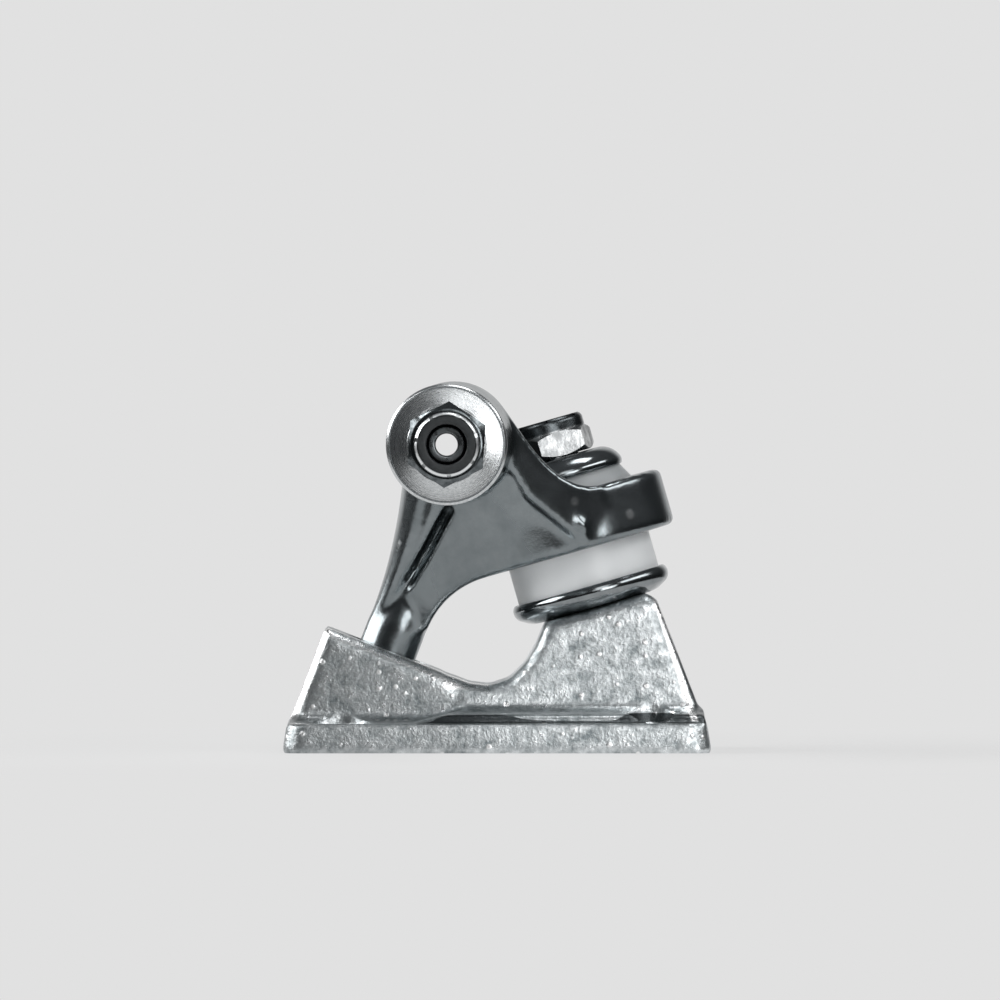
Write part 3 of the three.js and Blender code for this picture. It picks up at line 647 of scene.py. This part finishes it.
cup_material, _ = urethane_material("cup_urethane", (0.045, 0.05, 0.052, 1), (0.07, 0.075, 0.078, 1), 0.45)
cup = turned([(0, CUP_FLOOR, 0), (CUP_RADIUS, CUP_FLOOR, 0.8), (CUP_RADIUS, CUP_MOUTH, 0.5),
              (6.9, CUP_MOUTH, 0.4), *reversed(ball_end(SEAT_RADIUS))], 72, pivot_line)
piece("urethane_pivot_cup", cup, cup_material, "base", ["pivot_cup"])

# Kingpin: a zinc plated steel bolt. Its hexagon head sits in the underside of the baseplate
# and its threaded end comes through the nut.
THREAD_PITCH, THREAD_DEPTH = 1.06, 0.35
SHANK_RADIUS = 4.7


def ridged(radius, low, high):
    """Corners of a thread's ridges up the outside of a bar, without its ends."""
    corners = []
    for step in range(int((high - low) / THREAD_PITCH)):
        foot = low + step * THREAD_PITCH
        corners += [(radius - THREAD_DEPTH, foot, 0), (radius, foot + 0.35 * THREAD_PITCH, 0),
                    (radius, foot + 0.5 * THREAD_PITCH, 0)]
    return corners


machined, entry, leave = effect_group(
    "machined_marks", {"Groove size": 2600.0, "Smear": 500.0}, ("Smears", "Height"))
grooves = noise_node(machined, entry.outputs["Vector"], entry.outputs["Groove size"], 2.0, 0.6)
smears = noise_node(machined, entry.outputs["Vector"], entry.outputs["Smear"], 4.0, 0.6)
machined.links.new(ramp_node(machined, smears, 0.35, 0.65), leave.inputs["Smears"])
machined.links.new(math_node(machined, "MULTIPLY_ADD", smears, 0.3, grooves), leave.inputs["Height"])


def metal_material(name, dark, light, smooth, dull, relief, groove_size=2600.0, smear=500.0):
    """Machined or pressed metal: smears of tone and gloss over fine marks."""
    material, tree, shader = new_material(name)
    marks = place_group(tree, machined, object_vector(tree), groove_size=groove_size, smear=smear)
    smears = marks.outputs["Smears"]
    tree.links.new(mix_colours(tree, smears, dark, light), shader.inputs["Base Color"])
    tree.links.new(ramp_node(tree, smears, 0.0, 1.0, dull, smooth), shader.inputs["Roughness"])
    shader.inputs["Metallic"].default_value = 1.0
    bumped(tree, shader, marks.outputs["Height"], relief)
    return material, tree, shader


steel, _, _ = metal_material("zinc_steel", (0.36, 0.38, 0.39, 1), (0.5, 0.52, 0.53, 1), 0.2, 0.32, 0.00001)
head = hexagon(8.2, 6, 12)
rounded(head, head.edges[:], 0.4, 2)
bmesh.ops.transform(head, matrix=kingpin_line, verts=head.verts)
shank = turned([(0, 8, 0), (SHANK_RADIUS, 8, 0), (SHANK_RADIUS, 46, 0), *ridged(4.75, 46.4, 58.8),
                (4.4, 58.9, 0), (3.9, 59.5, 0.2), (0, 59.5, 0)], 72, kingpin_line)
piece("kingpin_bolt", together(head, shank), steel, "base", ["kingpin"])

# Cup washers: pressed from steel sheet and chromed. The large one stands on the kingpin tower
# and holds the lower bushing; the small one hangs over the upper bushing.
chrome, _, _ = metal_material("dark_chrome", (0.2, 0.22, 0.23, 1), (0.3, 0.32, 0.33, 1), 0.12, 0.22, 0.000006,
                              1600.0, 260.0)
low_cup = turned([(KINGPIN_BORE, 26.12, 0), (11.2, 26.12, 0.9), (14.05, 27.7, 1.0), (14.1, 29.4, 0.55),
                  (13.45, 30.25, 0.35), (12.8, 29.6, 0.3), (12.7, 27.9, 0.6), (KINGPIN_BORE, 27.8, 0)],
                 96, kingpin_line)
piece("large_cup_washer", low_cup, chrome, "base", ["lower_washer"])
high_cup = turned([(KINGPIN_BORE, 53.05, 0), (9.2, 53.05, 1.0), (11.1, 51.7, 0.9), (11.85, 50.1, 0.5),
                   (11.5, 49.15, 0.3), (10.8, 49.2, 0.3), (10.65, 51.4, 0.5), (KINGPIN_BORE, 51.5, 0)],
                  96, kingpin_line)
piece("small_cup_washer", high_cup, chrome, "base", ["upper_washer"])

# Bushings: two white urethane rings on the kingpin; the upper one is painted greyer, as painted
# shade. The hanger's ring is held between them.
white_urethane, white_shader = urethane_material(
    "white_urethane", (0.84, 0.86, 0.87, 1), (0.88, 0.9, 0.91, 1), 0.3)
# Painted shade: the upper bushing is the white urethane painted darker
shaded_urethane, shaded_urethane_shader = urethane_material(
    "shaded_urethane", (0.37, 0.39, 0.4, 1), (0.43, 0.45, 0.46, 1), 0.3)
for milky in (white_shader, shaded_urethane_shader):
    milky.inputs["Subsurface Weight"].default_value = 0.25
    milky.inputs["Subsurface Scale"].default_value = 0.004
    milky.inputs["Subsurface Radius"].default_value = (1.0, 1.0, 1.0)


def bushing(name, outside, material, node):
    """A bushing from the corners up its outside, turned about the kingpin, on no body of the part."""
    foot, top = outside[0][1], outside[-1][1]
    outline = [(KINGPIN_BORE, foot, 0), *outside, (KINGPIN_BORE, top, 0)]
    made = piece(name, turned(outline, 96, kingpin_line), material, None, [node])
    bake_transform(made)


low_side = [(12.75, 28.4 + step, 0) for step in range(1, 11)]
bushing("lower_urethane_bushing", [(12.7, 27.85, 0.6), *low_side, (12.75, 39.4, 0.6)], white_urethane,
        "lower_bushing")
high_side = [(12.5 - 0.56 * step, 46.6 + step, 0) for step in range(4)]
bushing("upper_urethane_bushing", [(12.5, 44.1, 0.5), *high_side, (10.35, 51.35, 0.5)], shaded_urethane,
        "upper_bushing")

# Hanger: one aluminium casting with a satin skin. A round beam carries the axle; its boss
# sweeps down through two arms into the ring, and a column and web end in the pivot stem.
axle_line = joint_frame("near_axle_nut_turn")
axle_x, axle_z = axle_line.translation.x, axle_line.translation.z
axle_line = frame_of((axle_x, 0, axle_z), (0, -1, 0))
boss_x, boss_z = axle_x + 1.3, axle_z + 0.75
boss_line = frame_of((boss_x, 0, boss_z), (0, -1, 0))
BEAM_RADIUS, BOSS_RADIUS, BOSS_END_RADIUS = 8.7, 10.3, 7.4
RING_LOW, RING_HIGH, RING_RADIUS = 36.5, 46.6, 17.55
RING_EDGE = 0.9
NOSE_RADIUS = 5.2
SEAT_LOW, SEAT_HIGH = 39.5, 44.0

satin, tree, shader = new_material("satin_aluminium")
skin = place_group(tree, tumbled, object_vector(tree), mottle_size=150.0, ding_size=300.0, ding_share=0.03)
tint = mix_colours(tree, skin.outputs["Mottle"], (0.21, 0.235, 0.245, 1), (0.27, 0.295, 0.305, 1))
tint = mix_colours(tree, skin.outputs["Dings"], tint, (0.7, 0.72, 0.73, 1))
tree.links.new(tint, shader.inputs["Base Color"])
shader.inputs["Metallic"].default_value = 1.0

# The web and the inner sides are duller than the rest
where = place_parts(tree)
near_web = window(tree, where["X"], -0.013, -0.007, 0.011, 0.015)
inner = ramp_node(tree, math_node(tree, "ABSOLUTE", where["Y"]), 0.0125, 0.0165, 0.13, 0.0)
inner = math_node(tree, "MULTIPLY", inner, near_web)
gloss = ramp_node(tree, skin.outputs["Mottle"], 0.0, 1.0, 0.26, 0.19)
tree.links.new(math_node(tree, "ADD", gloss, inner), shader.inputs["Roughness"])
bumped(tree, shader, skin.outputs["Height"], 0.00004)

beam = bar(BEAM_RADIUS, -66, 66, axle_line, 96)
boss = turned([(0, -47, 0), (BOSS_END_RADIUS, -47, 0), (BOSS_RADIUS, -24, 0), (BOSS_RADIUS, 24, 0),
               (BOSS_END_RADIUS, 47, 0), (0, 47, 0)], 96, boss_line)
ring = turned([(0, RING_LOW, 0), (RING_RADIUS, RING_LOW, RING_EDGE), (RING_RADIUS, RING_HIGH, RING_EDGE),
               (0, RING_HIGH, 0)], 96, kingpin_line)


def on(line, across, along):
    """Side view point (x, z) given across and along a frame's axis."""
    point = line @ Vector((across, 0, along))
    return (point.x, point.z)


def curve_between(start, start_pull, end_pull, end):
    """Ten points of a side view Bezier curve, without its start."""
    points = []
    for step in range(1, 11):
        share = step / 10
        left = 1 - share
        weights = (left ** 3, 3 * share * left ** 2, 3 * share ** 2 * left, share ** 3)
        points.append(tuple(sum(w * p[axis] for w, p in zip(weights, (start, start_pull, end_pull, end)))
                            for axis in (0, 1)))
    return points


def around(centre, radius, turn):
    """Side view point (x, z) on a circle, turned up from +X."""
    return (centre[0] + radius * math.cos(turn), centre[1] + radius * math.sin(turn))


def slimmed_in_kingpin_line(shape, point, outwards):
    """The shape sliced alike on both sides, by planes given in the kingpin's frame."""
    bmesh.ops.transform(shape, matrix=kingpin_line.inverted(), verts=shape.verts)
    shape = slimmed(shape, point, outwards)
    bmesh.ops.transform(shape, matrix=kingpin_line, verts=shape.verts)
    return shape


ring_foot, ring_top = RING_LOW + 0.1, RING_HIGH - 0.1
crest_turn = math.radians(42)
crest = around((boss_x, boss_z), BOSS_RADIUS, crest_turn)
crest_pull = (crest[0] + 5 * math.sin(crest_turn), crest[1] - 5 * math.cos(crest_turn))
landing = on(kingpin_line, 7, ring_top)
arm_outline = [(boss_x, boss_z - 2.5), (2.2, 49.4), (5.2, 44.3), on(kingpin_line, 1.6, ring_foot),
               on(kingpin_line, 7, ring_foot), landing,
               *curve_between(landing, on(kingpin_line, -2, ring_top), crest_pull, crest),
               (boss_x, boss_z + BOSS_RADIUS)]
arms = slimmed_in_kingpin_line(slab_of(arm_outline, -24.5, 24.5), (0, 19.3, 41.5), (0.47, 1, -0.15))

arch_centre, arch_radius, arch_end = (2.04, 15.72), 15.2, math.radians(90 - 16)
arch = [around(arch_centre, arch_radius, math.pi - PIVOT_TILT - step / 10 * (arch_end - PIVOT_TILT))
        for step in range(11)]
web_outline = [(axle_x, axle_z), on(pivot_line, 0, 8.8), *arch, on(kingpin_line, 1.6, ring_foot),
               on(kingpin_line, 2.5, 41), (6.5, 46), (4, 50.5)]
web = slimmed_in_kingpin_line(slab_of(web_outline, -20, 20), (-33, 3.3, 34), (-0.42, 1, -0.2))

stem = turned([*ball_end(NOSE_RADIUS), (NOSE_RADIUS, 11.5, 0), (4.4, 17, 0), (3.2, 23, 0), (0, 26, 0)],
              72, pivot_line)

# The column is a bent bar that grows wider from the pivot stem up to the boss
column_foot, column_bend, column_top = (-21.4, 21.5), (-15.2, 33.5), (-11.9, 47.5)
foot_deep, top_deep, foot_wide, top_wide = 1.6, 4.6, 3.0, 11
column = bmesh.new()
bmesh.ops.create_cone(column, cap_ends=True, segments=48, radius1=1, radius2=1, depth=1)
lengthwise = [edge for edge in column.edges if abs(edge.verts[0].co.z - edge.verts[1].co.z) > 0.5]
bmesh.ops.subdivide_edges(column, edges=lengthwise, cuts=11)
spans = list(zip(column_foot, column_bend, column_top))
for vert in column.verts:
    share = vert.co.z + 0.5
    centre = [(1 - share) ** 2 * a + 2 * share * (1 - share) * b + share ** 2 * c for a, b, c in spans]
    along = Vector([2 * (1 - share) * (b - a) + 2 * share * (c - b) for a, b, c in spans]).normalized()
    deep = vert.co.x * (foot_deep + (top_deep - foot_deep) * share ** 1.3)
    wide = vert.co.y * (foot_wide + (top_wide - foot_wide) * share)
    vert.co = (centre[0] + along.y * deep, wide, centre[1] - along.x * deep)
bmesh.ops.recalc_face_normals(column, faces=column.faces)

# A channel beside the column sets it off from the web on each side
channel_outline = [(-18.9, 24.4), (-17.9, 24.0), (-11.6, 34.2), (-7.2, 42.6), (-8.9, 43.2), (-13.3, 35.0)]
channels = [sliced(slab_of(channel_outline, side * 2.6, side * 24), (0, side * 3.3, 38), (0, -side, -0.107))
            for side in (-1, 1)]
casting = cast(together(beam, boss, ring, arms, web, stem, column), 0)
casting = cast(carved(casting, together(*channels)), 5)


def long_pocket(radius, width, low, high):
    """Round ended pocket across the truck, along the kingpin."""
    ends = [bar(radius, low, high, kingpin_line @ Matrix.Translation((0, side * (width / 2 - radius), 0)), 64)
            for side in (1, -1)]
    middle = brick((2 * radius, width - 2 * radius, high - low))
    bmesh.ops.translate(middle, vec=(0, 0, (low + high) / 2), verts=middle.verts)
    bmesh.ops.transform(middle, matrix=kingpin_line, verts=middle.verts)
    return cast(together(*ends, middle), 0, 0.4)


washer_pocket = long_pocket(12.9, 30, RING_HIGH, RING_HIGH + 7.9)
nut_pocket = long_pocket(9.1, 25.2, 49.8, 64.5)
casting = cast(carved(casting, washer_pocket, nut_pocket), 3)
seats = together(bar(13.0, RING_LOW - 3, SEAT_LOW, kingpin_line, 96),
                 bar(13.0, SEAT_HIGH, RING_HIGH + 3, kingpin_line, 96))
casting = carved(casting, seats, bar(7, 37, 46, kingpin_line), bar(4.0, -75, 75, axle_line))
piece("hanger_casting", casting, satin, "hanger", ["hanger"])

# Hanger ends: the casting is turned in a lathe at each end to a collar with a slightly
# coned face, a thin bright rim and a raised seat for the first washer.
SHOULDER = 69.5
COLLAR_RADIUS, WASHER_SEAT_RADIUS = 10.4, 6.7
AXLE_HOLE_RADIUS = 4.0

turned_face, entry, leave = effect_group("turned_face", {"Ring size": 5200.0}, ("Rings", "Grain", "Height"))
flat = vector_node(turned_face, "MULTIPLY", entry.outputs["Vector"], (1, 0, 1))
ringed = turned_face.nodes.new("ShaderNodeCombineXYZ")
turned_face.links.new(vector_node(turned_face, "LENGTH", flat), ringed.inputs["X"])
rings = noise_node(turned_face, ringed.outputs["Vector"], entry.outputs["Ring size"], 3.0, 0.7)
grain = noise_node(turned_face, entry.outputs["Vector"], 2400.0, 3.0, 0.7)
turned_face.links.new(ramp_node(turned_face, rings, 0.3, 0.7), leave.inputs["Rings"])
turned_face.links.new(ramp_node(turned_face, grain, 0.35, 0.65), leave.inputs["Grain"])
turned_face.links.new(math_node(turned_face, "MULTIPLY_ADD", rings, 1.5, grain), leave.inputs["Height"])

face_metal, tree, shader = new_material("turned_aluminium")
centred = tree.nodes.new("ShaderNodeMapping")
centred.inputs["Location"].default_value = (-axle_x * MM, 0, -axle_z * MM)
tree.links.new(object_vector(tree), centred.inputs["Vector"])
lathe = place_group(tree, turned_face, centred.outputs["Vector"])
tint = mix_colours(tree, lathe.outputs["Grain"], (0.55, 0.57, 0.58, 1), (0.72, 0.74, 0.75, 1))
tree.links.new(tint, shader.inputs["Base Color"])
tree.links.new(ramp_node(tree, lathe.outputs["Rings"], 0.0, 1.0, 0.2, 0.32), shader.inputs["Roughness"])
shader.inputs["Metallic"].default_value = 1.0
bumped(tree, shader, lathe.outputs["Height"], 0.00002)

for name, side in (("near_hanger_end", 1), ("far_hanger_end", -1)):
    line = frame_of((axle_x, 0, axle_z), (0, -side, 0))
    end = turned([(AXLE_HOLE_RADIUS, 62, 0), (BEAM_RADIUS, 62, 0), (BEAM_RADIUS, 63.2, 0.6),
                  (COLLAR_RADIUS, 65.0, 0.5), (COLLAR_RADIUS, SHOULDER - 1.1, 0.25),
                  (9.95, SHOULDER - 0.62, 0.12), (9.75, SHOULDER - 0.75, 0.1), (6.75, SHOULDER, 0.1),
                  (WASHER_SEAT_RADIUS, SHOULDER + 0.15, 0.05), (AXLE_HOLE_RADIUS, SHOULDER + 0.15, 0)],
                 128, line)
    piece(name, end, face_metal, "hanger", [], 20)

# Lock nuts: cold formed hexagons with a rolled collar, crimped over a nylon ring in a few
# places. The kingpin's is the large one; the axle has a smaller one at each end.
NUT_FOOT = 53.2
COLLAR_FOOT = 4.4
NICKS = 7

plated, tree, shader = metal_material("plated_nut", (0.26, 0.27, 0.275, 1), (0.5, 0.51, 0.515, 1), 0.18, 0.36,
                                      0.00002, 1500.0, 380.0)
# Painted shade: above its hexagon, the kingpin nut's rolled collar is painted near black
up = kingpin_line.col[2].to_3d()
height = vector_node(tree, "DOT_PRODUCT", object_vector(tree), up)
collar_foot = (kingpin_line.translation.dot(up) + NUT_FOOT + COLLAR_FOOT) * MM
collar_shade = ramp_node(tree, height, collar_foot, collar_foot + 0.0003)
plain = shader.inputs["Base Color"].links[0].from_socket
tree.links.new(mix_colours(tree, collar_shade, plain, (0.09, 0.1, 0.105, 1)), shader.inputs["Base Color"])

nylon, tree, shader = new_material("black_nylon")
mottle = noise_node(tree, object_vector(tree), 1300.0)
tree.links.new(mix_colours(tree, mottle, (0.018, 0.021, 0.022, 1), (0.042, 0.047, 0.05, 1)),
               shader.inputs["Base Color"])
tree.links.new(ramp_node(tree, mottle, 0.3, 0.7, 0.42, 0.6), shader.inputs["Roughness"])
bumped(tree, shader, mottle, 0.00002)


def lock_nut(place, turn, across_flats, hex_height, top, collar_radius, bore_radius, groove_radius):
    """Chamfered hexagon with a rolled and nicked collar, standing on z = 0 of its frame."""
    corner, flat = across_flats / math.sqrt(3), across_flats / 2
    six_sides = hexagon(corner, 0, hex_height)
    bmesh.ops.rotate(six_sides, matrix=Matrix.Rotation(turn, 3, "Z"), verts=six_sides.verts)
    rounding = turned([(0, 0, 0), (flat * 0.98, 0, 0.2), (corner + 0.2, 1.1, 0.2),
                       (corner + 0.2, hex_height - 1.15, 0.2), (flat * 0.94, hex_height, 0.3),
                       (0, hex_height, 0)], 96)
    six_sides = carved(six_sides, rounding, operation="INTERSECT")
    collar = turned([(bore_radius, 0.5, 0), (collar_radius, 0.5, 0), (collar_radius, top - 0.5, 0.55),
                     (collar_radius - 0.75, top, 0.3), (groove_radius, top - 0.15, 0.15),
                     (groove_radius, top - 2.4, 0), (bore_radius, top - 2.4, 0)], 96)
    tools = []
    for step in range(NICKS):
        nick = brick((1.7, 0.7, 1.2))
        bmesh.ops.rotate(nick, matrix=Matrix.Rotation(math.radians(20), 3, "Y"), verts=nick.verts)
        bmesh.ops.translate(nick, vec=(collar_radius + 0.1, 0, top - 0.12), verts=nick.verts)
        round_collar = Matrix.Rotation(step * math.tau / NICKS + 0.3, 3, "Z")
        bmesh.ops.rotate(nick, matrix=round_collar, verts=nick.verts)
        tools.append(nick)
    collar = carved(collar, together(*tools))
    six_sides = carved(six_sides, bar(bore_radius + 0.3, -1, hex_height + 1, Matrix.Identity(4), 64))
    whole = together(six_sides, collar)
    bmesh.ops.transform(whole, matrix=place, verts=whole.verts)
    return whole


def nut_ring(place, top, outer, inner):
    """Nylon ring held in a lock nut's collar."""
    return turned([(inner, top - 2.2, 0), (outer, top - 2.2, 0), (outer, top - 0.25, 0.15),
                   (inner, top - 0.25, 0.35)], 96, place)


nut_place = kingpin_line @ Matrix.Translation((0, 0, NUT_FOOT))
large_nut = lock_nut(nut_place, math.radians(48), across_flats=14.29, hex_height=4.6, top=6.9,
                     collar_radius=7.1, bore_radius=4.9, groove_radius=6.2)
piece("kingpin_lock_nut", large_nut, plated, "kingpin_nut", ["kingpin_nut"], 25)
large_ring = nut_ring(nut_place, top=6.9, outer=6.2, inner=4.8)
piece("kingpin_nylon_ring", large_ring, nylon, "kingpin_nut", ["kingpin_nut_insert"])

# Axle: a hollow steel tube pressed through the hanger, with a rolled thread at each end,
# two thin speed washers on each side of where the bearings go, and a lock nut.
AXLE_TIP = 101.6
AXLE_RADIUS, AXLE_BORE = 3.95, 2.0
THREAD_FROM = 87.8
NUT_OUT = 95.8
WASHER_BORE, WASHER_RADIUS, WASHER_HEIGHT = 4.25, 6.35, 1

half_tube = [(AXLE_RADIUS, THREAD_FROM, 0), *ridged(3.96, THREAD_FROM + 0.4, AXLE_TIP - 0.9),
             (3.4, AXLE_TIP - 0.8, 0), (2.95, AXLE_TIP, 0.1), (AXLE_BORE, AXLE_TIP, 0.2)]
tube = turned([(radius, -height, rounding) for radius, height, rounding in reversed(half_tube)] + half_tube,
              72, axle_line)
axle_steel, _, _ = metal_material("axle_steel", (0.2, 0.22, 0.23, 1), (0.36, 0.38, 0.39, 1), 0.22, 0.4,
                                  0.00002, 1800.0, 700.0)
piece("hollow_axle", tube, axle_steel, "hanger", ["axle"])

# Painted highlight: the lip of an axle nut's collar is painted bright, a narrow ring round the
# axle, at the very end
dark_plated, tree, shader = metal_material("dark_plated_nut", (0.07, 0.08, 0.085, 1), (0.22, 0.24, 0.25, 1),
                                           0.12, 0.28, 0.00002, 1500.0, 480.0)
from_axle = vector_node(tree, "MULTIPLY_ADD", object_vector(tree), (1, 0, 1), (-axle_x * MM, 0, -axle_z * MM))
from_axle = vector_node(tree, "LENGTH", from_axle)
tip = ramp_node(tree, math_node(tree, "ABSOLUTE", place_parts(tree)["Y"]), 0.1032, 0.1034)
lip_highlight = math_node(tree, "MULTIPLY", window(tree, from_axle, 0.00495, 0.0051, 0.0055, 0.00565), tip)
plain = shader.inputs["Base Color"].links[0].from_socket
gloss = shader.inputs["Roughness"].links[0].from_socket
tree.links.new(mix_colours(tree, lip_highlight, plain, (0.86, 0.88, 0.89, 1)), shader.inputs["Base Color"])
tree.links.new(math_node(tree, "MULTIPLY_ADD", lip_highlight, 0.2, gloss), shader.inputs["Roughness"])

for side, sign in (("near", 1), ("far", -1)):
    line = frame_of((axle_x, 0, axle_z), (0, -sign, 0))
    for kind, foot in (("inner", SHOULDER + 0.35), ("outer", NUT_OUT - 1.2)):
        top = foot + WASHER_HEIGHT
        washer = turned([(WASHER_BORE, foot, 0.1), (WASHER_RADIUS, foot, 0.15), (WASHER_RADIUS, top, 0.15),
                         (WASHER_BORE, top, 0.1)], 72, line)
        node = f"{side}_{kind}_washer"
        piece(f"{side}_{kind}_speed_washer", washer, steel, node, [node])
    place = line @ Matrix.Translation((0, 0, NUT_OUT))
    nut = lock_nut(place, math.radians(-3.5), across_flats=12.7, hex_height=6.0, top=8.1,
                   collar_radius=5.55, bore_radius=4.05, groove_radius=4.95)
    node = f"{side}_axle_nut"
    piece(f"{side}_axle_lock_nut", nut, dark_plated, node, [node], 25)
    insert = nut_ring(place, top=8.1, outer=4.95, inner=3.42)
    piece(f"{side}_axle_nylon_ring", insert, nylon, node, [f"{side}_axle_nut_insert"])
